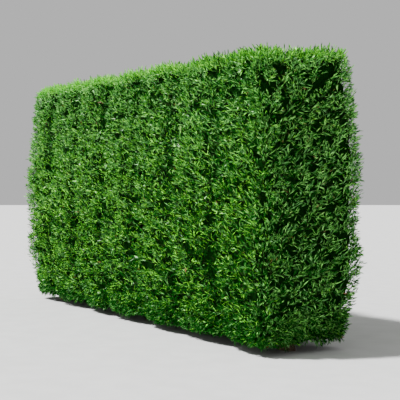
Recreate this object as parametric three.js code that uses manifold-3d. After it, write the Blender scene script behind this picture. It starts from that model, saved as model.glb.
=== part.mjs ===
// A clipped cypress hedge: a close row of conifers that have grown together into one block, built with three.js.
// Millimetres, +Z up. X runs along the row, towards its near end. -Y is the front face. The origin is at ground level
// in the middle of the middle trunk's flat foot.
import * as THREE from "three";
import { mergeVertices } from "three/addons/utils/BufferGeometryUtils.js";
import Module from "manifold-3d";

const wasm = await Module();
wasm.setup();

// The clipped block. The top rises towards the far end and, at the near end, a little towards the back.
const LENGTH = 7600;
const DEPTH = 1580;
const FAR_HEIGHT = 3885;
const NEAR_HEIGHT = 3570;
const BACK_RISE = 85;
const FOLIAGE_FOOT = 30;
const EDGE_RADIUS = 200;

// The sides tuck in at the foot and lean in at the top.
const FOOT_TUCK = 180;
const TUCK_TOP = 1150;
const TUCK_POWER = 1.5;
const TOP_LEAN = 130;
const LEAN_START = 2300;
const LEAN_POWER = 1.3;

// Soft unevenness of the clipped faces, and the shallow grooves where two trees meet
const LUMP = 24;
const BROAD_LUMP = 320;
const FINE_LUMP = 175;
const SEAM_DEPTH = 55;
const SEAM_WIDTH = 130;

// The row of trees
const TREES = 7;
const SPACING = LENGTH / TREES;
const SEAM_GAP = 0.5;

// Trunks, which taper from a root flare with low buttresses and sway a little on their way up
const TRUNK_SIDES = 8;
const TRUNK_RINGS = 7;
const RING_POWER = 1.7;
const BUTT_RADIUS = 66;
const TIP_RADIUS = 17;
const TAPER_POWER = 0.85;
const FLARE = 44;
const FLARE_HEIGHT = 75;
const BUTTRESSES = 3;
const BUTTRESS_SWELL = 0.16;
const BUTTRESS_HEIGHT = 150;
const TIP_BELOW_TOP = 330;
const SWAY = 60;
const SWAY_TURN = 2.4;
const TRUNK_CLEARANCE = 0.5;

// The dense core of each crown
const CORE_INSET = 120;
const FOOT_INSET_SHARE = 0.4;
const CORE_CELL = 360;
const CORE_ROUGHNESS = 34;

// The sprays that stand out of the core. Each stands for a cluster of real ones, so it is larger than life.
// Angles are in degrees, lengths are in millimetres.
const SPRAY_CELL = 430;
const SPRAY_JITTER = 0.7;
const SPRAY_WIDTH_SHARE = 0.58;
const SPRAY_THICKNESS = 22;
const SPRAY_SUNK = 60;
const LEAST_PAST = -15;
const MOST_PAST = 30;
const TOP_WISP = 120;
const LEAST_TILT = 48;
const MOST_TILT = 66;
const TOP_UPRIGHT = 26;
const FAN = 57;
const ROLL = 34;
const HANG_SHARE = 0.045;
const SPRAY_TRIES = 8;
const SEED = 22031;

// The outline of a flat spray, from its root to its tip and back: shares of its length and of its half width.
// Its rib is thickest at RIB_PEAK.
const SPRAY_OUTLINE = [
  [0, 0],
  [0.8, 1],
  [0.6, 0.3],
  [1, 0],
  [0.6, -0.3],
  [0.8, -1],
];
const RIB_PEAK = 0.45;

// Edges shorter than this are closed up after the solids are joined.
const SHORTEST_EDGE = 0.05;

// Colours as the photograph shows them
const BARK = 0x6d5546;
const FOLIAGE = [0x2f7a26, 0x35832a];

const UP = new THREE.Vector3(0, 0, 1);
const clamp = (value, low, high) => Math.min(Math.max(value, low), high);
const between = (low, high, share) => low + (high - low) * share;
const radians = THREE.MathUtils.degToRad;

// A small repeatable random generator
function seeded(seed) {
  let state = seed >>> 0;
  return () => {
    state = (state + 0x6d2b79f5) >>> 0;
    let t = state;
    t = Math.imul(t ^ (t >>> 15), t | 1);
    t ^= t + Math.imul(t ^ (t >>> 7), t | 61);
    return ((t ^ (t >>> 14)) >>> 0) / 4294967296;
  };
}

// A repeatable random number for a place, the same for every corner that meets there
function randomAt(x, y, z) {
  return seeded(Math.imul(Math.round(x), 73856093) ^ Math.imul(Math.round(y), 19349663) ^ Math.round(z))();
}

// The height of the clipped top
function topHeight(x, y) {
  const nearness = clamp(x / LENGTH + 0.5, 0, 1);
  return between(FAR_HEIGHT, NEAR_HEIGHT, nearness) + BACK_RISE * nearness * clamp(y / DEPTH + 0.5, 0, 1);
}

// How far the sides stand in from the widest line, at a height
function sideInset(z, top) {
  const low = clamp((TUCK_TOP - z) / (TUCK_TOP - FOLIAGE_FOOT), 0, 1);
  const high = clamp((z - LEAN_START) / (top - LEAN_START), 0, 1);
  return FOOT_TUCK * low ** TUCK_POWER + TOP_LEAN * high ** LEAN_POWER;
}

// The shallow groove where two trees of the row meet
function seamGroove(x) {
  const seam = (Math.round(x / SPACING - 0.5) + 0.5) * SPACING;
  const inRow = Math.abs(seam) < LENGTH / 2 - 1;
  return inRow ? SEAM_DEPTH * Math.exp(-(((x - seam) / SEAM_WIDTH) ** 2)) : 0;
}

// The soft unevenness of a hand-clipped face
function lump(p) {
  const broad = Math.sin((p.x + p.z / 2) / BROAD_LUMP) * Math.cos((p.z - p.y) / BROAD_LUMP);
  const fine = Math.sin((p.x + p.y - p.z) / FINE_LUMP);
  return LUMP * (broad + fine / 2);
}

// Takes a point of the plain block (x, y, and a height share from 0 to 1) to the clipped surface,
// a stated depth below it. Gives the point and the outward normal there.
function clippedSurface(x, y, share, below) {
  const top = topHeight(x, y);
  const flat = new THREE.Vector3(x, y, between(FOLIAGE_FOOT, top, share));
  const inner = new THREE.Vector3(
    clamp(x, EDGE_RADIUS - LENGTH / 2, LENGTH / 2 - EDGE_RADIUS),
    clamp(y, EDGE_RADIUS - DEPTH / 2, DEPTH / 2 - EDGE_RADIUS),
    clamp(flat.z, FOLIAGE_FOOT + EDGE_RADIUS, top - EDGE_RADIUS),
  );
  const normal = flat.clone().sub(inner).normalize();
  const sunk = below * (1 - (1 - FOOT_INSET_SHARE) * Math.max(-normal.z, 0));
  const point = inner.addScaledVector(normal, EDGE_RADIUS - sunk);
  const inset = sideInset(point.z, top);
  point.x *= 1 - inset / (LENGTH / 2);
  point.y *= 1 - inset / (DEPTH / 2);
  point.addScaledVector(normal, lump(point) - seamGroove(point.x) * (1 - Math.abs(normal.x)));
  return { point, normal };
}

// A closed three.js geometry as a solid that can be joined and cut
function solidOf(geometry) {
  const bare = geometry.clone();
  bare.deleteAttribute("normal");
  bare.deleteAttribute("uv");
  const merged = mergeVertices(bare, 1e-3);
  return new wasm.Manifold(
    new wasm.Mesh({
      numProp: 3,
      vertProperties: new Float32Array(merged.attributes.position.array),
      triVerts: new Uint32Array(merged.index.array),
    }),
  );
}

// A solid back as a three.js geometry
function geometryOf(solid) {
  const mesh = solid.getMesh();
  const positions = new Float32Array(mesh.numVert * 3);
  for (let i = 0; i < mesh.numVert; i++)
    positions.set(mesh.vertProperties.subarray(i * mesh.numProp, i * mesh.numProp + 3), i * 3);
  const geometry = new THREE.BufferGeometry();
  geometry.setAttribute("position", new THREE.BufferAttribute(positions, 3));
  geometry.setIndex(new THREE.BufferAttribute(new Uint32Array(mesh.triVerts), 1));
  geometry.computeVertexNormals();
  return geometry;
}

// Moves every vertex of a geometry by a function
function reshape(geometry, move) {
  const place = geometry.attributes.position;
  const vertex = new THREE.Vector3();
  for (let i = 0; i < place.count; i++) {
    vertex.fromBufferAttribute(place, i);
    const moved = move(vertex);
    place.setXYZ(i, moved.x, moved.y, moved.z);
  }
  return geometry;
}

// Joins many solids, two by two
function joinAll(solids) {
  let rest = solids;
  while (rest.length > 1) {
    const joined = [];
    for (let i = 0; i < rest.length; i += 2)
      joined.push(i + 1 < rest.length ? rest[i].add(rest[i + 1]) : rest[i]);
    rest = joined;
  }
  return rest[0];
}

// The largest connected body of a solid, without loose scraps and without edges too short to matter
function largestBody(solid) {
  return solid.simplify(SHORTEST_EDGE).decompose().sort((a, b) => b.volume() - a.volume())[0];
}

// One tree's trunk: its height, its middle line and its radius, by height above the ground
function trunkOf(tree) {
  const x = (tree - (TREES - 1) / 2) * SPACING;
  const height = topHeight(x, 0) - TIP_BELOW_TOP;
  const centre = (z) => {
    const share = z / height;
    const sway = SWAY * share * (1 - share / 2);
    const turn = SWAY_TURN * tree + share;
    return new THREE.Vector3(x + sway * Math.cos(turn), sway * Math.sin(turn), z);
  };
  const radius = (z) =>
    between(BUTT_RADIUS, TIP_RADIUS, (z / height) ** TAPER_POWER) + FLARE * Math.exp(-z / FLARE_HEIGHT);
  return { height, centre, radius };
}

// One trunk from the flat cut at the ground to the clipped tip, made larger all round by grow
function trunkGeometry(trunk, grow) {
  const cylinder = new THREE.CylinderGeometry(1, 1, 1, TRUNK_SIDES, TRUNK_RINGS);
  return reshape(cylinder, (v) => {
    const share = v.y + 0.5;
    const z = trunk.height * share ** RING_POWER;
    const angle = Math.atan2(v.z, v.x);
    const swell = 1 + BUTTRESS_SWELL * Math.exp(-z / BUTTRESS_HEIGHT) * Math.cos(BUTTRESSES * angle);
    const reach = Math.hypot(v.x, v.z) * (trunk.radius(z) * swell + grow);
    const lift = share === 1 ? grow : share === 0 ? -grow : 0;
    return trunk.centre(z).add(new THREE.Vector3(reach * Math.cos(angle), -reach * Math.sin(angle), lift));
  });
}

// The dense inner body of the whole row, sunk below the clipped surface and rough all over
function coreSolid() {
  const cells = [LENGTH, DEPTH, FAR_HEIGHT].map((side) => Math.round(side / CORE_CELL));
  const block = new THREE.BoxGeometry(LENGTH, DEPTH, 1, ...cells);
  const placed = reshape(block, (v) => {
    const { point, normal } = clippedSurface(v.x, v.y, v.z + 0.5, CORE_INSET);
    const rough = 2 * randomAt(v.x, v.y, v.z * FAR_HEIGHT) - 1;
    return point.addScaledVector(normal, CORE_ROUGHNESS * rough);
  });
  return solidOf(placed);
}

// The stretch of the row that one tree fills, from its lower seam to its upper one
function stretchOf(tree) {
  const low = -LENGTH / 2 + tree * SPACING + (tree > 0 ? SEAM_GAP / 2 : -EDGE_RADIUS);
  const high = -LENGTH / 2 + (tree + 1) * SPACING + (tree < TREES - 1 ? -SEAM_GAP / 2 : EDGE_RADIUS);
  return { low, high };
}

// A slab wide and tall enough to hold everything in one stretch
function slabSolid({ low, high }) {
  const slab = new THREE.BoxGeometry(high - low, 2 * DEPTH, 2 * FAR_HEIGHT);
  slab.translate((low + high) / 2, 0, FAR_HEIGHT / 2);
  return solidOf(slab);
}

// One toothed spray along +X, flat in XY
function sprayGeometry(length, width) {
  const points = SPRAY_OUTLINE.length;
  const disc = new THREE.SphereGeometry(1, points, 2);
  return reshape(disc, (v) => {
    if (Math.abs(v.y) > 0.5) return new THREE.Vector3(length * RIB_PEAK, 0, (Math.sign(v.y) * SPRAY_THICKNESS) / 2);
    const turn = Math.atan2(v.z, v.x) / (2 * Math.PI);
    const corner = (Math.round(turn * points) + points) % points;
    const [along, side] = SPRAY_OUTLINE[corner];
    return new THREE.Vector3(length * along, (side * width) / 2, 0);
  });
}

// Places a spray: its root sunk in the core, its tip out and up, or down where it hangs at the foot, and its flat
// side turned partly outwards. It is as long as it takes to reach the clipped surface, or past it as a top wisp.
function placedSpray(root, normal, hangs, random) {
  const turn = radians(FAN * (2 * random() - 1)) + (hangs ? Math.PI : 0);
  const upright = Math.max(normal.z, 0);
  const tilt = radians(between(LEAST_TILT, MOST_TILT, random()) - TOP_UPRIGHT * upright);
  const past = between(LEAST_PAST, MOST_PAST, random()) + TOP_WISP * upright * random() ** 2;
  const roll = radians(ROLL * (2 * random() - 1));
  const level = new THREE.Vector3().crossVectors(UP, normal);
  if (level.lengthSq() < 0.05) level.set(Math.cos(root.x), Math.sin(root.x), 0);
  const rise = new THREE.Vector3().crossVectors(normal, level.normalize()).applyAxisAngle(normal, turn);
  const axis = normal.clone().multiplyScalar(Math.cos(tilt)).addScaledVector(rise, Math.sin(tilt)).normalize();
  const face = normal.clone().addScaledVector(axis, -normal.dot(axis)).normalize().applyAxisAngle(axis, roll);
  const side = new THREE.Vector3().crossVectors(face, axis);
  const length = (CORE_INSET + past) / Math.cos(tilt) + SPRAY_SUNK;
  const start = root.clone().addScaledVector(axis, -SPRAY_SUNK);
  const placing = new THREE.Matrix4().makeBasis(axis, side, face).setPosition(start);
  return sprayGeometry(length, length * SPRAY_WIDTH_SHARE).applyMatrix4(placing);
}

// A jittered grid over the faces that one tree shows: front, back and top, and the end of the row for the last trees.
// Each spot is x, y and a height share.
function spraySpots(tree, random) {
  const left = -LENGTH / 2 + tree * SPACING;
  const along = (u) => left + u * SPACING;
  const across = (u) => (u - 0.5) * DEPTH;
  const spots = [];
  const cover = (width, height, put) => {
    const columns = Math.ceil(width / SPRAY_CELL);
    const rows = Math.ceil(height / SPRAY_CELL);
    const inCell = () => 0.5 + SPRAY_JITTER * (random() - 0.5);
    for (let i = 0; i < columns; i++)
      for (let j = 0; j < rows; j++) spots.push(put((i + inCell()) / columns, (j + inCell()) / rows));
  };
  cover(SPACING, FAR_HEIGHT, (u, v) => [along(u), -DEPTH / 2, v]);
  cover(SPACING, FAR_HEIGHT, (u, v) => [along(u), DEPTH / 2, v]);
  cover(SPACING, DEPTH, (u, v) => [along(u), across(v), 1]);
  if (tree === 0) cover(DEPTH, FAR_HEIGHT, (u, v) => [-LENGTH / 2, across(u), v]);
  if (tree === TREES - 1) cover(DEPTH, FAR_HEIGHT, (u, v) => [LENGTH / 2, across(u), v]);
  return spots;
}

// All the sprays of one tree that keep to its own stretch, above the ground and clear of each other
function spraysOf(tree) {
  const random = seeded(SEED + tree);
  const { low, high } = stretchOf(tree);
  const kept = [];
  for (const [x, y, share] of spraySpots(tree, random)) {
    const { point, normal } = clippedSurface(x, y, share, CORE_INSET);
    for (let attempt = 0; attempt < SPRAY_TRIES; attempt++) {
      const spray = placedSpray(point, normal, share < HANG_SHARE, random);
      spray.computeBoundingBox();
      const box = spray.boundingBox;
      if (box.min.x < low || box.max.x > high || box.min.z < FOLIAGE_FOOT / 2) continue;
      const solid = solidOf(spray);
      const near = kept.filter((other) => other.box.intersectsBox(box));
      if (near.some((other) => !other.solid.intersect(solid).isEmpty())) continue;
      kept.push({ box, solid });
      break;
    }
  }
  return kept.map((spray) => spray.solid);
}

// One tree's share of the clipped block: its part of the core with its sprays, bored clear of its trunk
function crownGeometry(tree, core, trunk) {
  const block = core.intersect(slabSolid(stretchOf(tree)));
  const bore = solidOf(trunkGeometry(trunk, TRUNK_CLEARANCE));
  return geometryOf(largestBody(joinAll([block, ...spraysOf(tree)]).subtract(bore)));
}

function named(name, geometry, color, roughness) {
  const mesh = new THREE.Mesh(geometry, new THREE.MeshStandardMaterial({ color, roughness, metalness: 0 }));
  mesh.name = name;
  return mesh;
}

const hedge = new THREE.Group();
const core = coreSolid();
for (let tree = 0; tree < TREES; tree++) {
  const trunk = trunkOf(tree);
  hedge.add(named(`trunk_${tree + 1}`, trunkGeometry(trunk, 0), BARK, 0.95));
  hedge.add(named(`crown_${tree + 1}`, crownGeometry(tree, core, trunk), FOLIAGE[tree % FOLIAGE.length], 0.8));
}

export default hedge;
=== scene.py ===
import math

import bmesh
import bpy
import numpy as np
from mathutils import Matrix, Vector


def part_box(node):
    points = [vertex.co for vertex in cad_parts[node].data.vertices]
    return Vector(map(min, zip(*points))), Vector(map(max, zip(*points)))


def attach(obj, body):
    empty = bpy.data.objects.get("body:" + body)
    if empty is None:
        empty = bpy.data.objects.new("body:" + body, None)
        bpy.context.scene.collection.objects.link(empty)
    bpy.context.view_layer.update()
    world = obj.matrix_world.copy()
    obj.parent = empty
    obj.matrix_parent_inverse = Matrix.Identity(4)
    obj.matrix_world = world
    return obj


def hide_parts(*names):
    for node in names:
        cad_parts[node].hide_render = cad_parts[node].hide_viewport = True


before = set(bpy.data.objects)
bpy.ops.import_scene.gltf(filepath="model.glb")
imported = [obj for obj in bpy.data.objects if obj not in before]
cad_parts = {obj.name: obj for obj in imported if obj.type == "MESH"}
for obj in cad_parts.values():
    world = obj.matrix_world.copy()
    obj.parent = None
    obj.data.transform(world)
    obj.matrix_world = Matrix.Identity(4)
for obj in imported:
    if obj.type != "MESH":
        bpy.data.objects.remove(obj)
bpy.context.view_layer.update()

# The clipped block, as the model's source has it
LENGTH = 7.6
DEPTH = 1.58
FAR_HEIGHT = 3.885
NEAR_HEIGHT = 3.57
BACK_RISE = 0.085
FOLIAGE_FOOT = 0.03
EDGE_RADIUS = 0.2
FOOT_TUCK = 0.18
TUCK_TOP = 1.15
TUCK_POWER = 1.5
TOP_LEAN = 0.13
LEAN_START = 2.3
LEAN_POWER = 1.3
LUMP = 0.024
BROAD_LUMP = 0.32
FINE_LUMP = 0.175
SEAM_DEPTH = 0.055
SEAM_WIDTH = 0.13
SEAM_MARGIN = 0.001
FOOT_INSET_SHARE = 0.4
TREES = 7
SPACING = LENGTH / TREES

# Trunks, as the source has them, with the bark's relief
BUTT_RADIUS = 0.066
TIP_RADIUS = 0.017
TAPER_POWER = 0.85
FLARE = 0.044
FLARE_HEIGHT = 0.075
BUTTRESSES = 3
BUTTRESS_SWELL = 0.16
BUTTRESS_HEIGHT = 0.15
SWAY = 0.06
SWAY_TURN = 2.4
BARK_SIDES = 30
BARK_RINGS = 60
RING_POWER = 1.7
BARK_STRIPS = 11
BARK_RELIEF = 0.1
BARK_TWIST = 3.0
BARK_WANDER = 7.3
STRIP_BREAKS = 3.1
STRIP_BREAK_RISE = 9

# Boughs rise from the trunk to a coarse grid of places under the clipped surface
BOUGH_CELL = 0.43
BOUGH_INSET = 0.26
BOUGH_RISE = 0.9
BOUGH_SAG = 0.12
BOUGH_BUTT = 0.013
BOUGH_TIP = 0.004
BOUGH_SIDES = 6
BOUGH_RINGS = 6
BOUGH_JITTER = 0.6
LOWEST_BOUGH = 0.12
HIGHEST_BOUGH = 0.97
BOUGH_CLEARANCE = 0.05

# A thicket of twigs fills the block behind the sprays, coloured near-black as painted shade
THICKET_INSET = 0.12
THICKET_FOOT = 0.15
THICKET_CELL = 0.1
THICKET_ROUGHNESS = 0.035
THICKET_WAVES = (37, 51, 43, 29)
THICKET_PUSH = (0, 1, 0.5)

# Plumes: twigs that carry the sprays, with angles in degrees
PLUME_CELL = 0.0885
PLUME_JITTER = 1
PLUME_INSET = 0.19
LONGEST_PLUME = 0.5
PLUME_STEPS = 30
SLOPE_STEP = 0.002
LEAST_TILT = 36
MOST_TILT = 62
TOP_UPRIGHT = 30
NEARLY_FLAT = 0.05
FAN = 115
ROLL = 60
FOOT_SHARE = 0.13
HANG_TILT = 22
MOST_DOWN = 0.3
TWIG_RADIUS = 0.0032
TWIG_REACH = 0.85
TWIG_CLEARANCE = 0.02
POCKET_SHARE = 0.012
END_FACING = 0.7

# Furrows wander up the seams between the trees, sunk, gappy and darkened with painted shade
FURROW_WIDTH = 0.09
FURROW_WANDER = 0.08
FURROW_BENDS = 2.3
FURROW_BREAKS = 4.1
FURROW_FAINTEST = 0.3
FURROW_SUNK = 0.04
FURROW_POCKETS = 0.36
# Painted shade down the furrows
FURROW_TONE = 0.6

# The near end has a thinner, shaded stretch beside its front corner
THIN_MIDDLE = -0.38
THIN_WIDTH = 0.36
THIN_FOOT = 0.6
THIN_TOP = 3.5
THIN_EDGE = 0.5
THIN_POCKETS = 0.12
# Painted shade over the thin stretch
THIN_TONE = 0.12

# A branchlet, in shares of its spray's length
BRANCHLET_WIDTH = 0.104
BRANCHLET_FOLD = 0.3
SHOULDER_BACK = 0.1

# A fan's pairs of branchlets get shorter and closer towards its tip
FAN_ROOTS = (0.05, 0.72)
FAN_STAGGER = 0.35
FAN_TIP_REACH = 0.55
FAN_CLOSING = 6
FAN_LIFT = 0.45
FAN_ROLL = 1.2

# A tuft's branchlets splay unevenly all round it
TUFT_ROOTS = (0.02, 0.5)
TUFT_TIP_REACH = 0.6
TUFT_LEAST_SPLAY = 0.75
TUFT_SPLAY_SPREAD = 0.5
TUFT_ROLL = 1.3
TUFT_FLATNESS = 0.7

# Sprays: flat fans and loose tufts of slim branchlets along each plume
SPRAYS_PER_PLUME = 7
SPRAY_LENGTH = 0.09
LOWEST_SPRAY = 0.4
HIGHEST_SPRAY = 0.95
SPRAY_SCATTER = 0.3
LOW_RANKS = 2
LEAST_SIZE = 0.72
MOST_SIZE = 1.28
ROOT_SIZE = 1.12
TIP_SIZE = 0.88
LEAST_SWING = 20
MOST_SWING = 56
LEADER_SWING = 0.3
OUT_OF_PLANE = 60
SPRAY_ROLL = 80
TURN_UP = 0.12
LEAST_PAST = -0.01
MOST_PAST = 0.06
TOP_WISP = 0.24
END_WISP = 0.16
WISP_POWER = 4
LOWEST_LEAF = 0.025
RAGGED_FOOT = 0.07
FOOT_WAVES = (11, 13)
REACH_SPARE = 0.02
SIDE_REACH = 0.89

# How the greens are dealt out
TONE = 0.54
# Painted shade: the sprays darken lower down, a little less on the ends
LOW_TONE = 0.38
LOW_BELOW = 2.5
# Painted shade: sprays are darker the deeper their tips sit below the clipped surface
DEPTH_TONE = 1.7
PATCH_TONE = 0.06
YOUNG_SHARE = 0.025
YOUNG_TONE = 0.45
SPRAY_SPREAD = 0.08
# Painted shade at the foot, fading out by SHADED_HEIGHT
FOOT_TONE = 0.5
SHADED_HEIGHT = 0.45
NEAR_TONE = 0.2
DEEP_SPRAY = 0.09
TONE_SPREAD = 0.62
TONE_STEPS = [0.26, 0.46, 0.68, 0.9]
# A few branchlets take a pale green: a painted glint, gloss catching the light
PAINTED_GLINT_SHARE = 0.014
DEAD_SHARE = 0.002
THIN_DEAD = 0.012
DEAD_SPRAYS = 0.0012
# The crest is lighter and limer: partly its fresh growth, partly painted light where the top catches the
# light; more of it towards the far end
CREST_TONE = 1.2
CREST_DEPTH = 0.19
CREST_LEADERS = 0.75
FAR_CREST_GROWTH_AND_LIGHT = 1.35
NEAR_CREST_GROWTH_AND_LIGHT = 0.3
LEAST_YOUTH = 0.4
# Painted light: the ends' sprays are dealt a lighter tone
END_TONE = 0.1
IN_SIGHT_TONE = 0.35

# Waves that the lighter and darker patches follow: along and up, then up and across
SLOW_WAVES = (2.1, 1.3, 1.7, -2.3)
QUICK_WAVES = (9.0, -4.0, 6.5, 5.0)

# Cooler greens paint bluish sky light: high up, at the foot, on the ends, and in patches
COOL_FROM = 1.5
COOL_TO = 3.7
COOL_PATCH = 0.15

# The noise that mottles leaves, and the one drawn out into fibres on bark
MOTTLE_DETAIL = 3
MOTTLE_RANGE = (0.35, 0.65)
FIBRE_DETAIL = 5
FIBRE_RANGE = (0.32, 0.68)
FIBRE_STRETCH = 0.09
FIBRE_ROUGHNESS = (0.95, 0.75)

# The camera stands at the near corner and looks along the long face
CAMERA_PLACE = (11.79, -6.37, 1.82)
CAMERA_TURN = 59
LENS = 78.3
SENSOR = 36
FARTHEST_SEEN = 400

# The studio's floor, its even sky light and its sun
FLOOR_RADIUS = 300
FLOOR_SIDES = 96
SKY_LIGHT = 0.58
KEY_LIGHT = 9
KEY_ANGLE = 5
KEY_FROM = (-0.22, -0.58, 0.9)

SEED = 22031

UP = np.array([0.0, 0.0, 1.0])
NEARLY_UP = UP + 0.01


def between(low, high, share):
    return low + (high - low) * share


def unit(vectors):
    """Vectors made one long, with those of no length left as they are."""
    return vectors / np.maximum(np.linalg.norm(vectors, axis=-1, keepdims=True), 1e-9)


def dot(a, b):
    return np.sum(a * b, axis=-1, keepdims=True)


def column(values):
    return np.asarray(values)[:, None]


def turned(vectors, axes, angles):
    """Vectors turned about unit axes that they are square to."""
    return vectors * column(np.cos(angles)) + np.cross(axes, vectors) * column(np.sin(angles))


# The clipped block's surface

def top_height(x, y):
    nearness = np.clip(x / LENGTH + 0.5, 0, 1)
    back = np.clip(y / DEPTH + 0.5, 0, 1)
    return between(FAR_HEIGHT, NEAR_HEIGHT, nearness) + BACK_RISE * nearness * back


def side_inset(z, top):
    low = np.clip((TUCK_TOP - z) / (TUCK_TOP - FOLIAGE_FOOT), 0, 1)
    high = np.clip((z - LEAN_START) / (top - LEAN_START), 0, 1)
    return FOOT_TUCK * low**TUCK_POWER + TOP_LEAN * high**LEAN_POWER


def nearest_seam(x):
    """The seam between two trees nearest to each x, and whether the row has one there."""
    seam = (np.round(x / SPACING - 0.5) + 0.5) * SPACING
    return seam, np.abs(seam) < LENGTH / 2 - SEAM_MARGIN


def seam_groove(x):
    seam, in_row = nearest_seam(x)
    return np.where(in_row, SEAM_DEPTH * np.exp(-(((x - seam) / SEAM_WIDTH) ** 2)), 0)


def lump(p):
    broad = np.sin((p[:, 0] + p[:, 2] / 2) / BROAD_LUMP) * np.cos((p[:, 2] - p[:, 1]) / BROAD_LUMP)
    fine = np.sin((p[:, 0] + p[:, 1] - p[:, 2]) / FINE_LUMP)
    return LUMP * (broad + fine / 2)


def clipped_surface(x, y, share, below):
    """Points of the plain block taken to the clipped surface, a stated depth below it, with the normals."""
    top = top_height(x, y)
    flat = np.stack([x, y, between(FOLIAGE_FOOT, top, share)], axis=1)
    reach = np.array([LENGTH / 2 - EDGE_RADIUS, DEPTH / 2 - EDGE_RADIUS])
    inner = flat.copy()
    inner[:, :2] = np.clip(flat[:, :2], -reach, reach)
    inner[:, 2] = np.clip(flat[:, 2], FOLIAGE_FOOT + EDGE_RADIUS, top - EDGE_RADIUS)
    normal = unit(flat - inner)
    sunk = below * (1 - (1 - FOOT_INSET_SHARE) * np.maximum(-normal[:, 2], 0))
    point = inner + normal * column(EDGE_RADIUS - sunk)
    inset = side_inset(point[:, 2], top)
    point[:, 0] *= 1 - inset / (LENGTH / 2)
    point[:, 1] *= 1 - inset / (DEPTH / 2)
    swell = lump(point) - seam_groove(point[:, 0]) * (1 - np.abs(normal[:, 0]))
    return point + normal * column(swell), normal


def past_surface(p):
    """How far points stand out of the clipped surface, or below it where negative."""
    top = top_height(p[:, 0], p[:, 1])
    inset = side_inset(p[:, 2], top)
    across = np.abs(p[:, :2]) / np.stack([1 - inset / (LENGTH / 2), 1 - inset / (DEPTH / 2)], axis=1)
    middle = (top + FOLIAGE_FOOT) / 2
    out = np.stack([
        across[:, 0] - (LENGTH / 2 - EDGE_RADIUS),
        across[:, 1] - (DEPTH / 2 - EDGE_RADIUS),
        np.abs(p[:, 2] - middle) - (top - FOLIAGE_FOOT) / 2 + EDGE_RADIUS,
    ], axis=1)
    rounded = np.linalg.norm(np.maximum(out, 0), axis=1) + np.minimum(out.max(axis=1), 0) - EDGE_RADIUS
    faces_end = (out[:, 0] > np.maximum(out[:, 1], out[:, 2])).astype(float)
    return rounded - lump(p) + seam_groove(p[:, 0]) * (1 - faces_end)


def straight_out(p):
    """The direction straight out of the clipped surface at each point."""
    here = past_surface(p)
    slope = [past_surface(p + step) - here for step in np.eye(3) * SLOPE_STEP]
    return unit(np.stack(slope, axis=1))


def reach_along(root, axis, past):
    """How far each line runs from its root until it stands so far out of the clipped surface."""
    inside = np.ones(len(root), dtype=bool)
    length = np.zeros(len(root))
    for step in np.linspace(0, LONGEST_PLUME, PLUME_STEPS)[1:]:
        inside &= past_surface(root + axis * step) < past
        length[inside] = step
    return length


def furrow(p):
    """How far a place lies in the wandering furrow between two trees, where painted shade darkens it, from
    0 to 1.
    """
    seam, in_row = nearest_seam(p[:, 0])
    wander = FURROW_WANDER * np.sin(FURROW_BENDS * p[:, 2] + 3 * seam)
    strength = between(1, FURROW_FAINTEST, 0.5 + 0.5 * np.sin(FURROW_BREAKS * p[:, 2] + 5 * seam))
    across = (p[:, 0] - seam - wander) / FURROW_WIDTH
    return np.where(in_row, strength * np.exp(-(across**2)), 0)


def thinness(p):
    """How far a place lies in the thin, shaded stretch of the near end, from 0 to 1."""
    on_end = np.clip((p[:, 0] - LENGTH / 2) / THIN_EDGE + 1, 0, 1)
    across = np.exp(-(((p[:, 1] - THIN_MIDDLE) / THIN_WIDTH) ** 2))
    above = np.clip((p[:, 2] - THIN_FOOT) / THIN_EDGE, 0, 1)
    below = np.clip((THIN_TOP - p[:, 2]) / THIN_EDGE, 0, 1)
    return on_end * across * (above * below)


def face_spots(tree, cell, jitter, rng):
    """A jittered grid over the faces that one tree shows. Each spot is x, y and a height share."""
    left = -LENGTH / 2 + tree * SPACING

    def cover(width, height):
        columns = math.ceil(width / cell)
        rows = math.ceil(height / cell)
        i, j = np.meshgrid(np.arange(columns), np.arange(rows), indexing="ij")
        u = (i.ravel() + 0.5 + jitter * (rng.random(i.size) - 0.5)) / columns
        v = (j.ravel() + 0.5 + jitter * (rng.random(j.size) - 0.5)) / rows
        return u, v, np.ones(u.size)

    spots = []
    for side in (-1, 1):
        u, v, one = cover(SPACING, FAR_HEIGHT)
        spots.append(np.stack([left + u * SPACING, side * DEPTH / 2 * one, v]))
    u, v, one = cover(SPACING, DEPTH)
    spots.append(np.stack([left + u * SPACING, (v - 0.5) * DEPTH, one]))
    for last, side in ((0, -1), (TREES - 1, 1)):
        if tree == last:
            u, v, one = cover(DEPTH, FAR_HEIGHT)
            spots.append(np.stack([side * LENGTH / 2 * one, (u - 0.5) * DEPTH, v]))
    return np.concatenate(spots, axis=1)


# Making meshes

def plain_tube(sides, cuts, cap_tris=False):
    """A closed tube about Z, one high and one in radius, cut across into rings."""
    bm = bmesh.new()
    bmesh.ops.create_cone(
        bm, cap_ends=True, cap_tris=cap_tris, segments=sides, radius1=1, radius2=1, depth=1
    )
    upright = [e for e in bm.edges if abs(e.verts[0].co.z - e.verts[1].co.z) > 0.5]
    bmesh.ops.subdivide_edges(bm, edges=upright, cuts=cuts)
    return bm


def shape_arrays(bm):
    """A small shape's vertices and faces as arrays, to be repeated."""
    bm.verts.index_update()
    vertices = np.array([v.co for v in bm.verts])
    faces = np.array([[v.index for v in f.verts] for f in bm.faces])
    bm.free()
    return vertices, faces


def repeated(shape, origins, axes, sides, faces, sizes):
    """Copies of a shape, each with its own origin, directions and size, as one set of arrays."""
    vertices, quads = shape
    basis = np.stack([axes, sides, faces], axis=1) * sizes[:, None, None]
    placed = np.einsum("vk,nkj->nvj", vertices, basis) + origins[:, None, :]
    return placed, quads


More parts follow.
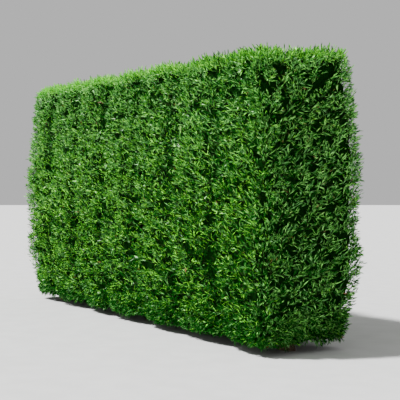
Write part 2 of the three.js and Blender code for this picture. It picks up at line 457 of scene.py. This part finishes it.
def joined_mesh(name, parts, materials, smooth=False):
    """One object from sets of repeated shapes, each of placed vertices, faces and material numbers."""
    points, corners, numbers = [], [], []
    start = 0
    for placed, faces, material in parts:
        count, size = placed.shape[:2]
        first = start + size * np.arange(count)
        points.append(placed.reshape(-1, 3))
        corners.append((faces[None] + first[:, None, None]).reshape(-1, faces.shape[1]))
        numbers.append(np.broadcast_to(material, (count, len(faces))).ravel())
        start += count * size
    points = np.concatenate(points)
    sides = corners[0].shape[1]
    corners = np.concatenate(corners)
    mesh = bpy.data.meshes.new(name)
    mesh.vertices.add(len(points))
    mesh.vertices.foreach_set("co", points.astype(np.float32).ravel())
    mesh.loops.add(corners.size)
    mesh.loops.foreach_set("vertex_index", corners.astype(np.int32).ravel())
    mesh.polygons.add(len(corners))
    mesh.polygons.foreach_set("loop_start", np.arange(0, corners.size, sides, dtype=np.int32))
    for material in materials:
        mesh.materials.append(material)
    mesh.polygons.foreach_set("material_index", np.concatenate(numbers).astype(np.int32))
    mesh.polygons.foreach_set("use_smooth", np.full(len(corners), smooth))
    mesh.update(calc_edges=True)
    return shown(bpy.data.objects.new(name, mesh))


def object_of(name, bm, material, smooth=True):
    mesh = bpy.data.meshes.new(name)
    bm.to_mesh(mesh)
    bm.free()
    mesh.materials.append(material)
    mesh.polygons.foreach_set("use_smooth", [smooth] * len(mesh.polygons))
    return shown(bpy.data.objects.new(name, mesh))


def shown(piece):
    bpy.context.scene.collection.objects.link(piece)
    return piece


def dressed(piece, node):
    """A finished piece that stands for a node of the model."""
    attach(piece, "root")
    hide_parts(node)
    return piece


# Materials

# What a material hands to its effect group
EFFECT_INPUTS = [
    ("Vector", "NodeSocketVector"),
    ("Scale", "NodeSocketFloat"),
    ("Dark", "NodeSocketColor"),
    ("Light", "NodeSocketColor"),
]


def effect_group(name, outputs):
    group = bpy.data.node_groups.new(name, "ShaderNodeTree")
    for title, kind in EFFECT_INPUTS:
        group.interface.new_socket(title, in_out="INPUT", socket_type=kind)
    for title, kind in outputs:
        group.interface.new_socket(title, in_out="OUTPUT", socket_type=kind)
    start = group.nodes.new("NodeGroupInput")
    end = group.nodes.new("NodeGroupOutput")
    return group, start, end


def noise(group, vector, scale, detail):
    node = group.nodes.new("ShaderNodeTexNoise")
    node.inputs["Detail"].default_value = detail
    group.links.new(vector, node.inputs["Vector"])
    group.links.new(scale, node.inputs["Scale"])
    return node.outputs["Fac"]


def blend_colors(group, factor, low, high):
    node = group.nodes.new("ShaderNodeMix")
    node.data_type = "RGBA"
    group.links.new(factor, node.inputs["Factor"])
    group.links.new(low, node.inputs["A"])
    group.links.new(high, node.inputs["B"])
    return node.outputs["Result"]


def spread(group, value, low, high):
    """A value stretched from low..high to 0..1."""
    node = group.nodes.new("ShaderNodeMapRange")
    node.inputs["From Min"].default_value = low
    node.inputs["From Max"].default_value = high
    group.links.new(value, node.inputs["Value"])
    return node.outputs["Result"]


def mottle_group():
    """Fine mottling between two colours, with its height for a bump."""
    outputs = [("Color", "NodeSocketColor"), ("Height", "NodeSocketFloat")]
    group, start, end = effect_group("mottle", outputs)
    grain = noise(group, start.outputs["Vector"], start.outputs["Scale"], MOTTLE_DETAIL)
    wide = spread(group, grain, *MOTTLE_RANGE)
    color = blend_colors(group, wide, start.outputs["Dark"], start.outputs["Light"])
    group.links.new(color, end.inputs["Color"])
    group.links.new(wide, end.inputs["Height"])
    return group


def fibre_group():
    """Bark in long upright fibres: two colours, a height and a roughness."""
    outputs = [
        ("Color", "NodeSocketColor"),
        ("Height", "NodeSocketFloat"),
        ("Roughness", "NodeSocketFloat"),
    ]
    group, start, end = effect_group("fibre", outputs)
    stretch = group.nodes.new("ShaderNodeMapping")
    stretch.inputs["Scale"].default_value = (1, 1, FIBRE_STRETCH)
    group.links.new(start.outputs["Vector"], stretch.inputs["Vector"])
    fibres = noise(group, stretch.outputs["Vector"], start.outputs["Scale"], FIBRE_DETAIL)
    wide = spread(group, fibres, *FIBRE_RANGE)
    color = blend_colors(group, wide, start.outputs["Dark"], start.outputs["Light"])
    group.links.new(color, end.inputs["Color"])
    group.links.new(wide, end.inputs["Height"])
    matt = group.nodes.new("ShaderNodeMapRange")
    matt.inputs["To Min"].default_value, matt.inputs["To Max"].default_value = FIBRE_ROUGHNESS
    group.links.new(wide, matt.inputs["Value"])
    group.links.new(matt.outputs["Result"], end.inputs["Roughness"])
    return group


def finish(name, group, dark, light, scale, roughness, bump, bump_depth, specular):
    """A material whose colour and bump, and on bark its roughness, come from an effect group."""
    material = bpy.data.materials.new(name)
    material.use_nodes = True
    tree = material.node_tree
    shader = tree.nodes["Principled BSDF"]
    shader.inputs["Roughness"].default_value = roughness
    shader.inputs["Specular IOR Level"].default_value = specular
    place = tree.nodes.new("ShaderNodeTexCoord")
    effect = tree.nodes.new("ShaderNodeGroup")
    effect.node_tree = group
    effect.inputs["Scale"].default_value = scale
    effect.inputs["Dark"].default_value = (*dark, 1)
    effect.inputs["Light"].default_value = (*light, 1)
    tree.links.new(place.outputs["Object"], effect.inputs["Vector"])
    tree.links.new(effect.outputs["Color"], shader.inputs["Base Color"])
    if "Roughness" in effect.outputs:
        tree.links.new(effect.outputs["Roughness"], shader.inputs["Roughness"])
    relief = tree.nodes.new("ShaderNodeBump")
    relief.inputs["Strength"].default_value = bump
    relief.inputs["Distance"].default_value = bump_depth
    tree.links.new(effect.outputs["Height"], relief.inputs["Height"])
    tree.links.new(relief.outputs["Normal"], shader.inputs["Normal"])
    return material


mottle = mottle_group()
fibre = fibre_group()

# The greens of the sprays: from the shaded inside to the fresh tips, then a painted glint, dead tips and
# cooler ones.
# The darker and brighter steps paint shade and light besides the leaves' own spread; the glint is a pale
# green painted for gloss catching the light, and the cooler ones are painted bluish sky light.
# Each has its darker and lighter mottling and its gloss.
GREENS = {
    "leaf_deep": ((0.002, 0.060, 0.001), (0.004, 0.086, 0.002), 0.05),
    "leaf_shade": ((0.013, 0.126, 0.006), (0.021, 0.168, 0.010), 0.1),
    "leaf_green": ((0.042, 0.232, 0.028), (0.060, 0.288, 0.038), 0.28),
    "leaf_bright": ((0.104, 0.382, 0.076), (0.134, 0.452, 0.096), 0.5),
    "leaf_fresh": ((0.250, 0.860, 0.040), (0.330, 0.970, 0.058), 0.4),
    "leaf_painted_glint": ((0.320, 0.720, 0.110), (0.420, 0.820, 0.170), 0.6),
    "leaf_dead": ((0.200, 0.080, 0.026), (0.310, 0.140, 0.050), 0.3),
    "leaf_cool_shade": ((0.015, 0.124, 0.010), (0.023, 0.164, 0.015), 0.1),
    "leaf_cool_green": ((0.048, 0.230, 0.038), (0.064, 0.284, 0.050), 0.28),
    "leaf_cool_bright": ((0.128, 0.398, 0.098), (0.158, 0.468, 0.122), 0.5),
    "leaf_cool_fresh": ((0.240, 0.720, 0.124), (0.315, 0.830, 0.168), 0.4),
}
LEAVES = [
    finish(
        name, mottle, dark, light,
        scale=55, roughness=0.38, bump=0.2, bump_depth=0.001, specular=gloss,
    )
    for name, (dark, light, gloss) in GREENS.items()
]
SHADE, FRESH, PAINTED_GLINT, DEAD, COOL_SHADE = (
    list(GREENS).index(f"leaf_{name}") for name in ("shade", "fresh", "painted_glint", "dead", "cool_shade")
)
# The thicket's near-black is painted shade: the deep shade among the inner twigs
THICKET_PAINTED_SHADE = finish(
    "thicket_painted_shade", mottle, (0.001, 0.010, 0.001), (0.005, 0.040, 0.003),
    scale=70, roughness=0.95, bump=0.8, bump_depth=0.02, specular=0.02,
)
BARK = finish(
    "bark", fibre, (0.060, 0.036, 0.025), (0.230, 0.150, 0.105),
    scale=95, roughness=0.9, bump=0.8, bump_depth=0.004, specular=0.2,
)
TWIG_BARK = finish(
    "twig_bark", fibre, (0.014, 0.024, 0.006), (0.050, 0.070, 0.018),
    scale=240, roughness=0.8, bump=0.5, bump_depth=0.001, specular=0.2,
)
FLOOR = finish(
    "studio_floor", mottle, (0.60, 0.60, 0.59), (0.64, 0.64, 0.63),
    scale=3, roughness=0.85, bump=0.05, bump_depth=0.001, specular=0.1,
)


# Trunks and boughs

def trunk_of(tree):
    """A trunk's height, middle line and radius, standing where the model's own trunk does."""
    low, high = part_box(f"trunk_{tree + 1}")
    height = high.z - low.z
    x = (tree - (TREES - 1) / 2) * SPACING

    def centre(z):
        share = z / height
        sway = SWAY * share * (1 - share / 2)
        turn = SWAY_TURN * tree + share
        return np.stack([x + sway * np.cos(turn), sway * np.sin(turn), z + low.z], axis=-1)

    def radius(z):
        taper = between(BUTT_RADIUS, TIP_RADIUS, (z / height) ** TAPER_POWER)
        return taper + FLARE * np.exp(-z / FLARE_HEIGHT)

    return height, centre, radius


def bark_trunk(tree):
    """The trunk with its strips of fibrous bark standing off it."""
    height, centre, radius = trunk_of(tree)
    bm = plain_tube(BARK_SIDES, BARK_RINGS - 1)
    for v in bm.verts:
        z = height * (v.co.z + 0.5) ** RING_POWER
        angle = math.atan2(v.co.y, v.co.x)
        swell = 1 + BUTTRESS_SWELL * math.exp(-z / BUTTRESS_HEIGHT) * math.cos(BUTTRESSES * angle)
        wander = math.sin(BARK_TWIST * z + 2 * angle + tree) + math.sin(BARK_WANDER * z + tree)
        breaks = math.cos(STRIP_BREAKS * angle + STRIP_BREAK_RISE * z)
        strip = math.sin(BARK_STRIPS * angle + wander) * breaks
        reach = radius(z) * swell * (1 + BARK_RELIEF * strip)
        place = centre(z)
        v.co = Vector((place[0] + reach * math.cos(angle), place[1] + reach * math.sin(angle), place[2]))
    piece = object_of(f"trunk_{tree + 1}_bark", bm, BARK)
    return dressed(piece, f"trunk_{tree + 1}")


def bough_lines(tree, rng):
    """Each bough's line from the trunk to its place under the clipped surface, as rings of points."""
    height, centre, _ = trunk_of(tree)
    x, y, share = face_spots(tree, BOUGH_CELL, BOUGH_JITTER, rng)
    ends = clipped_surface(x, y, share, BOUGH_INSET)[0]
    away = np.linalg.norm(ends[:, :2] - centre(np.zeros(1))[0, :2], axis=1)
    start_height = np.clip(ends[:, 2] - BOUGH_RISE * away, LOWEST_BOUGH, height * HIGHEST_BOUGH)
    starts = centre(start_height)
    along = np.linspace(0, 1, BOUGH_RINGS)[None, :, None]
    lines = starts[:, None] + (ends - starts)[:, None] * along
    lines[:, :, 2] -= (BOUGH_SAG * 4 * along * (1 - along) * column(away)[:, None])[:, :, 0]
    lines[:, :, 2] = np.maximum(lines[:, :, 2], BOUGH_CLEARANCE)
    return lines


def tube_arrays(lines, sides, butt, tip):
    """Closed tapering tubes along lines of points, as placed vertices and faces."""
    rings = lines.shape[1]
    ahead = unit(lines[:, -1] - lines[:, 0])
    across = unit(np.cross(ahead, NEARLY_UP))
    over = np.cross(across, ahead)
    bm = plain_tube(sides, rings - 2, cap_tris=True)
    bmesh.ops.triangulate(bm, faces=bm.faces)
    vertices, faces = shape_arrays(bm)
    ring = np.round((vertices[:, 2] + 0.5) * (rings - 1)).astype(int)
    thick = between(butt, tip, ring / (rings - 1))
    placed = lines[:, ring] + across[:, None] * column(vertices[:, 0] * thick)
    placed += over[:, None] * column(vertices[:, 1] * thick)
    return placed, faces


# The thicket behind the sprays, near-black with painted shade

def thicket_painted_shade(tree):
    """One tree's share of the inner block, rough all over, closed at its seams."""
    low = -LENGTH / 2 + tree * SPACING
    bm = bmesh.new()
    bmesh.ops.create_cube(bm, size=1)
    for direction, side in enumerate((SPACING, DEPTH, FAR_HEIGHT)):
        cuts = math.ceil(side / THICKET_CELL) - 1
        edges = [e for e in bm.edges if abs(e.verts[0].co[direction] - e.verts[1].co[direction]) > 0.5]
        bmesh.ops.subdivide_edges(bm, edges=edges, cuts=cuts, use_grid_fill=True)
    corner = np.array([v.co for v in bm.verts]) + 0.5
    x = low + corner[:, 0] * SPACING
    y = (corner[:, 1] - 0.5) * DEPTH
    outer = clipped_surface(x, y, corner[:, 2], THICKET_INSET)[0]
    along, across, up, skew = THICKET_WAVES
    rough = np.sin(along * x + across * y) * np.cos(up * outer[:, 2] + skew * x) * THICKET_ROUGHNESS
    outer[:, 2] = np.maximum(outer[:, 2], THICKET_FOOT + rough)
    for v, place, bump in zip(bm.verts, outer, rough):
        v.co = Vector(place + bump * np.array(THICKET_PUSH))
    bmesh.ops.recalc_face_normals(bm, faces=bm.faces)
    piece = object_of(f"crown_{tree + 1}_thicket", bm, THICKET_PAINTED_SHADE, smooth=False)
    return dressed(piece, f"crown_{tree + 1}")


# Sprays

def add_branchlet(bm, root, length, out, around, roll, broad=1):
    """One slim branchlet: a kite folded along its rib, leaning out from +X, turned around it and rolled."""
    made = bmesh.ops.create_circle(bm, cap_ends=True, segments=4, radius=1)["verts"]
    width = BRANCHLET_WIDTH / 2 * broad
    for v in made:
        side = v.co.y
        lift = BRANCHLET_FOLD * width * abs(side)
        v.co = Vector((length * (0.5 + 0.5 * v.co.x - SHOULDER_BACK * abs(side)), width * side, lift))
    turns = [Matrix.Rotation(roll, 3, "X"), Matrix.Rotation(out, 3, "Z"), Matrix.Rotation(around, 3, "X")]
    for turn in turns:
        bmesh.ops.rotate(bm, verts=made, cent=(0, 0, 0), matrix=turn)
    bmesh.ops.translate(bm, verts=made, vec=(root, 0, 0))


def bent(bm, bend, cup):
    """Bends a spray along its length and cups it across."""
    for v in bm.verts:
        v.co.z += bend * v.co.x**2 + cup * abs(v.co.y)
    return shape_arrays(bm)


def fan_spray(pairs, angle, reach, bend, cup, broad=1):
    """A flat fan of branchlets along +X, one unit long, each a little out of its plane."""
    bm = bmesh.new()
    add_branchlet(bm, 0, 1, 0, 0, 0, broad)
    for pair in range(pairs):
        for side in (0, 1):
            share = (pair + 0.5 + FAN_STAGGER * side) / pairs
            root = between(*FAN_ROOTS, share)
            length = reach * between(1, FAN_TIP_REACH, share)
            out = math.radians(angle - FAN_CLOSING * share)
            wave = math.sin(5 * pair + 3 * side)
            around = math.pi * side + FAN_LIFT * wave
            add_branchlet(bm, root, length, out, around, FAN_ROLL * wave, broad)
    return bent(bm, bend, cup)


def tuft_spray(count, angle, reach, bend):
    """A loose tuft of branchlets along +X, one unit long, splayed round it but wider than it is deep."""
    bm = bmesh.new()
    add_branchlet(bm, 0, 1, 0, 0, 0)
    golden = math.pi * (3 - math.sqrt(5))
    for number in range(count):
        share = (number + 0.5) / count
        splay = TUFT_LEAST_SPLAY + TUFT_SPLAY_SPREAD * math.sin(7 * number) ** 2
        root = between(*TUFT_ROOTS, share)
        length = reach * between(1, TUFT_TIP_REACH, share)
        roll = TUFT_ROLL * math.sin(4 * number)
        add_branchlet(bm, root, length, math.radians(angle * splay), golden * number, roll)
    for v in bm.verts:
        v.co.z *= TUFT_FLATNESS
    return bent(bm, bend, 0)


# The last but one ends a plume, and the last and broadest grows deep inside
SPRAYS = [
    fan_spray(pairs=2, angle=18, reach=0.8, bend=-0.15, cup=0.1),
    fan_spray(pairs=2, angle=14, reach=0.8, bend=0.15, cup=-0.1),
    tuft_spray(count=4, angle=18, reach=0.85, bend=-0.15),
    tuft_spray(count=4, angle=14, reach=0.85, bend=0.15),
    tuft_spray(count=4, angle=10, reach=0.9, bend=0.1),
    fan_spray(pairs=2, angle=34, reach=0.7, bend=-0.2, cup=0.1, broad=2.2),
]
LEADER, INNER = len(SPRAYS) - 2, len(SPRAYS) - 1


def plumes_of(tree, rng):
    """The plumes of one tree: roots, normals, axes, flat faces, lengths, and which hang or are bare."""
    spots = face_spots(tree, PLUME_CELL, PLUME_JITTER, rng)
    low = spots[:, spots[2] < FOOT_SHARE]
    hangs = np.arange(spots.shape[1] + low.shape[1]) >= spots.shape[1]
    x, y, share = np.concatenate([spots, low], axis=1)
    root, normal = clipped_surface(x, y, share, PLUME_INSET)
    count = len(root)
    normal[:, 2] = np.maximum(normal[:, 2], -MOST_DOWN)
    normal = unit(normal)
    upright = np.maximum(normal[:, 2], 0)
    turn = np.radians(rng.uniform(-FAN, FAN, count)) + math.pi * hangs
    tilt = np.radians(rng.uniform(LEAST_TILT, MOST_TILT, count) - TOP_UPRIGHT * upright - HANG_TILT * hangs)
    level = np.cross(UP, normal)
    heading = rng.uniform(0, 2 * math.pi, count)
    free = np.stack([np.cos(heading), np.sin(heading), 0 * heading], axis=1)
    level = unit(np.where(dot(level, level) < NEARLY_FLAT, free, level))
    rise = turned(np.cross(normal, level), normal, turn)
    axis = unit(normal * column(np.cos(tilt)) + rise * column(np.sin(tilt)))
    face = unit(normal - axis * dot(normal, axis))
    face = turned(face, axis, np.radians(rng.uniform(-ROLL, ROLL, count)))
    length = reach_along(root, axis, rng.uniform(LEAST_PAST, MOST_PAST, count) / 2)
    gappy = POCKET_SHARE + FURROW_POCKETS * furrow(root) + THIN_POCKETS * thinness(root)
    pocket = rng.random(count) < gappy
    return root, normal, axis, face, length, hangs, pocket


def patches(p):
    """Broad soft patches where the foliage is a little lighter or darker, from -1 to 1."""
    slow, quick = (
        np.sin(along * p[:, 0] + up * p[:, 2]) * np.cos(rise * p[:, 2] + across * p[:, 1])
        for along, up, rise, across in (SLOW_WAVES, QUICK_WAVES)
    )
    return 0.5 * slow + 0.5 * quick


def coolness(p, on_end):
    """The share of cool greens at each place, where 1 or more is all of them."""
    # Painted sky light: cool greens high up, at the shaded foot and on the ends
    high = np.clip((p[:, 2] - COOL_FROM) / (COOL_TO - COOL_FROM), 0, 1)
    low = np.clip(1 - p[:, 2] / SHADED_HEIGHT, 0, 1)
    return np.maximum(high + low, on_end) + COOL_PATCH * patches(p[:, ::-1])


def sprays_on(plumes, rng):
    """Every spray on a tree's plumes: place, directions, size, shape, tone, colour shares and reach."""
    root, normal, axis, face, length, hangs, pocket = plumes
    count = len(root) * SPRAYS_PER_PLUME
    plume = np.repeat(np.arange(len(root)), SPRAYS_PER_PLUME)
    rank = np.tile(np.arange(SPRAYS_PER_PLUME), len(root))
    leads = rank == SPRAYS_PER_PLUME - 1
    step = rank + rng.uniform(-SPRAY_SCATTER, SPRAY_SCATTER, count)
    share = between(LOWEST_SPRAY, HIGHEST_SPRAY, step / (SPRAYS_PER_PLUME - 1))
    start = root[plume] + axis[plume] * column(length[plume] * share)
    swing = np.radians(rng.uniform(LEAST_SWING, MOST_SWING, count)) * np.where(leads, LEADER_SWING, 1)
    lean = np.radians(rng.uniform(-OUT_OF_PLANE, OUT_OF_PLANE, count))
    side = np.cross(face, axis)[plume] * column(np.where(rank % 2, 1, -1))
    outward = side * column(np.cos(lean)) + face[plume] * column(np.sin(lean))
    ahead = axis[plume] * column(np.cos(swing)) + outward * column(np.sin(swing))
    ahead = unit(ahead + UP * column(TURN_UP * np.where(hangs[plume], -1, 1)))
    flat = unit(face[plume] - ahead * dot(face[plume], ahead))
    flat = turned(flat, ahead, np.radians(rng.uniform(-SPRAY_ROLL, SPRAY_ROLL, count)))
    size = SPRAY_LENGTH * rng.uniform(LEAST_SIZE, MOST_SIZE, count) * between(ROOT_SIZE, TIP_SIZE, share)
    upright = np.maximum(normal[plume, 2], 0)
    at_end = np.abs(normal[plume, 0])
    wisp = TOP_WISP * upright + END_WISP * at_end
    tip = start + ahead * column(size)
    most = rng.uniform(LEAST_PAST, MOST_PAST, count) + wisp * rng.random(count) ** WISP_POWER
    most -= FURROW_SUNK * furrow(tip)
    over = past_surface(tip) - most
    start -= straight_out(tip) * column(np.maximum(over, 0))
    tip = start + ahead * column(size)
    depth = np.maximum(-past_surface(tip), 0)
    nearness = np.clip(tip[:, 0] / LENGTH + 0.5, 0, 1)
    crest = np.clip((tip[:, 2] - top_height(tip[:, 0], tip[:, 1])) / CREST_DEPTH + 1, 0, 1)
    vigour = between(LEAST_YOUTH, 1, rng.random(len(root))[plume])
    # Fresh growth and painted light along the crest
    crest_growth_and_light = crest * between(FAR_CREST_GROWTH_AND_LIGHT, NEAR_CREST_GROWTH_AND_LIGHT, nearness) * vigour
    shaded = np.clip(1 - tip[:, 2] / SHADED_HEIGHT, 0, 1)
    # The tone holds painted shade, deep below the surface, at the foot, low down, in the furrows and the
    # thin stretch, and painted light on the ends and the crest, besides patches and random spread
    tone = TONE - DEPTH_TONE * depth + PATCH_TONE * patches(tip) + rng.normal(0, SPRAY_SPREAD, count)
    tone += CREST_TONE * crest_growth_and_light - FOOT_TONE * shaded - FURROW_TONE * furrow(tip)
    tone += END_TONE * at_end - THIN_TONE * thinness(tip) - NEAR_TONE * (nearness - 0.5)
    tone -= LOW_TONE * np.clip(1 - tip[:, 2] / LOW_BELOW, 0, 1) * (1 - at_end / 2)
    tone += YOUNG_TONE * (rng.random(len(root)) < YOUNG_SHARE)[plume] * (rank > LOW_RANKS)
    cool = coolness(tip, at_end) * (1 - crest)
    shape = rng.integers(0, LEADER, count)
    shape[leads | (crest > CREST_LEADERS)] = LEADER
    shape[depth > DEEP_SPRAY] = INNER
    keep = ~(pocket[plume] & (rank > LOW_RANKS))
    dead = DEAD_SHARE + THIN_DEAD * thinness(tip)
    return [part[keep] for part in (start, ahead, flat, size, shape, tone, cool, dead, most)]


def greens_of(tone, cool, dead, branchlets, rng):
    """The green of every branchlet, dealt out around its spray's own tone."""
    tones = column(tone) + rng.normal(0, TONE_SPREAD, (len(tone), branchlets))
    greens = np.digitize(tones, TONE_STEPS)
    # Painted sky light turns some greens to their cool twins
    turns_cool = rng.random(greens.shape) < column(cool)
    greens[turns_cool & (greens >= SHADE) & (greens <= FRESH)] += COOL_SHADE - SHADE
    chance = rng.random(greens.shape)
    in_sight = column(tone) > IN_SIGHT_TONE
    # Painted glints: a few branchlets in sight take the pale green
    greens[(chance < PAINTED_GLINT_SHARE) & in_sight] = PAINTED_GLINT
    greens[(chance > 1 - column(dead)) & in_sight] = DEAD
    greens[rng.random(len(tone)) < DEAD_SPRAYS] = DEAD
    return greens


def keeps_inside(placed, most):
    """Which sprays stay above the ground, between the sides and within their reach past the surface."""
    count, corners = placed.shape[:2]
    past = past_surface(placed.reshape(-1, 3)).reshape(count, corners).max(axis=1)
    wave = 0.5 + 0.5 * np.sin(FOOT_WAVES[0] * placed[:, 0, 0] + FOOT_WAVES[1] * placed[:, 0, 1])
    above = placed[:, :, 2].min(axis=1) > LOWEST_LEAF + RAGGED_FOOT * wave**3
    between_sides = np.abs(placed[:, :, 1]).max(axis=1) < SIDE_REACH
    return above & between_sides & (past < most + REACH_SPARE)


def spray_piece(name, tree, plumes, rng):
    start, ahead, flat, size, shape, tone, cool, dead, most = sprays_on(plumes, rng)
    side = np.cross(flat, ahead)
    parts = []
    for number, template in enumerate(SPRAYS):
        chosen = shape == number
        placed, quads = repeated(
            template, start[chosen], ahead[chosen], side[chosen], flat[chosen], size[chosen]
        )
        clear = keeps_inside(placed, most[chosen])
        kept = np.flatnonzero(chosen)[clear]
        greens = greens_of(tone[kept], cool[kept], dead[kept], len(quads), rng)
        parts.append((placed[clear], quads, greens))
    piece = joined_mesh(f"crown_{tree + 1}_{name}", parts, LEAVES)
    return dressed(piece, f"crown_{tree + 1}")


def crown_sprays(tree, plumes, rng):
    """The sprays of a tree in one piece, and in a second one on the end of the row."""
    on_end = np.abs(plumes[1][:, 0]) > END_FACING
    spray_piece("sprays", tree, [part[~on_end] for part in plumes], rng)
    if on_end.any():
        spray_piece("end_sprays", tree, [part[on_end] for part in plumes], rng)


def twig_piece(tree, plumes, boughs):
    """Twigs from the nearest bough to each plume's root and on along the plume."""
    root, _, axis, _, length, _, _ = plumes
    joints = boughs[:, -3:].reshape(-1, 3)
    apart = np.linalg.norm(root[:, None] - joints[None], axis=2)
    nearest = joints[apart.argmin(axis=1)]
    tips = root + axis * column(length * TWIG_REACH)
    lines = np.stack([nearest, root, tips], axis=1)
    lines[:, :, 2] = np.maximum(lines[:, :, 2], TWIG_CLEARANCE)
    placed, faces = tube_arrays(lines, 3, TWIG_RADIUS, TWIG_RADIUS / 2)
    piece = joined_mesh(f"crown_{tree + 1}_twigs", [(placed, faces, 0)], [TWIG_BARK])
    return dressed(piece, f"crown_{tree + 1}")


def bough_piece(tree, boughs):
    placed, faces = tube_arrays(boughs, BOUGH_SIDES, BOUGH_BUTT, BOUGH_TIP)
    piece = joined_mesh(f"crown_{tree + 1}_boughs", [(placed, faces, 0)], [BARK], smooth=True)
    return dressed(piece, f"crown_{tree + 1}")


for tree in range(TREES):
    rng = np.random.default_rng(SEED + tree)
    bark_trunk(tree)
    boughs = bough_lines(tree, rng)
    bough_piece(tree, boughs)
    thicket_painted_shade(tree)
    plumes = plumes_of(tree, rng)
    twig_piece(tree, plumes, boughs)
    crown_sprays(tree, plumes, rng)


# The studio

def studio_floor():
    bm = bmesh.new()
    bmesh.ops.create_circle(bm, cap_ends=True, segments=FLOOR_SIDES, radius=FLOOR_RADIUS)
    object_of("studio_floor", bm, FLOOR, smooth=False)


def sun(name, power, angle, towards):
    lamp = bpy.data.lights.new(name, "SUN")
    lamp.energy = power
    lamp.angle = math.radians(angle)
    holder = shown(bpy.data.objects.new(name, lamp))
    holder.rotation_euler = Vector(towards).to_track_quat("Z", "Y").to_euler()


def studio_light():
    world = bpy.data.worlds.new("studio_light")
    world.use_nodes = True
    sky = world.node_tree.nodes["Background"]
    sky.inputs["Color"].default_value = (1, 1, 1, 1)
    sky.inputs["Strength"].default_value = SKY_LIGHT
    bpy.context.scene.world = world
    sun("key", KEY_LIGHT, KEY_ANGLE, KEY_FROM)


def camera():
    lens = bpy.data.cameras.new("camera")
    lens.sensor_width = SENSOR
    lens.lens = LENS
    lens.clip_end = FARTHEST_SEEN
    holder = shown(bpy.data.objects.new("camera", lens))
    holder.location = CAMERA_PLACE
    holder.rotation_euler = (math.radians(90), 0, math.radians(CAMERA_TURN))
    bpy.context.scene.camera = holder


studio_floor()
studio_light()
camera()
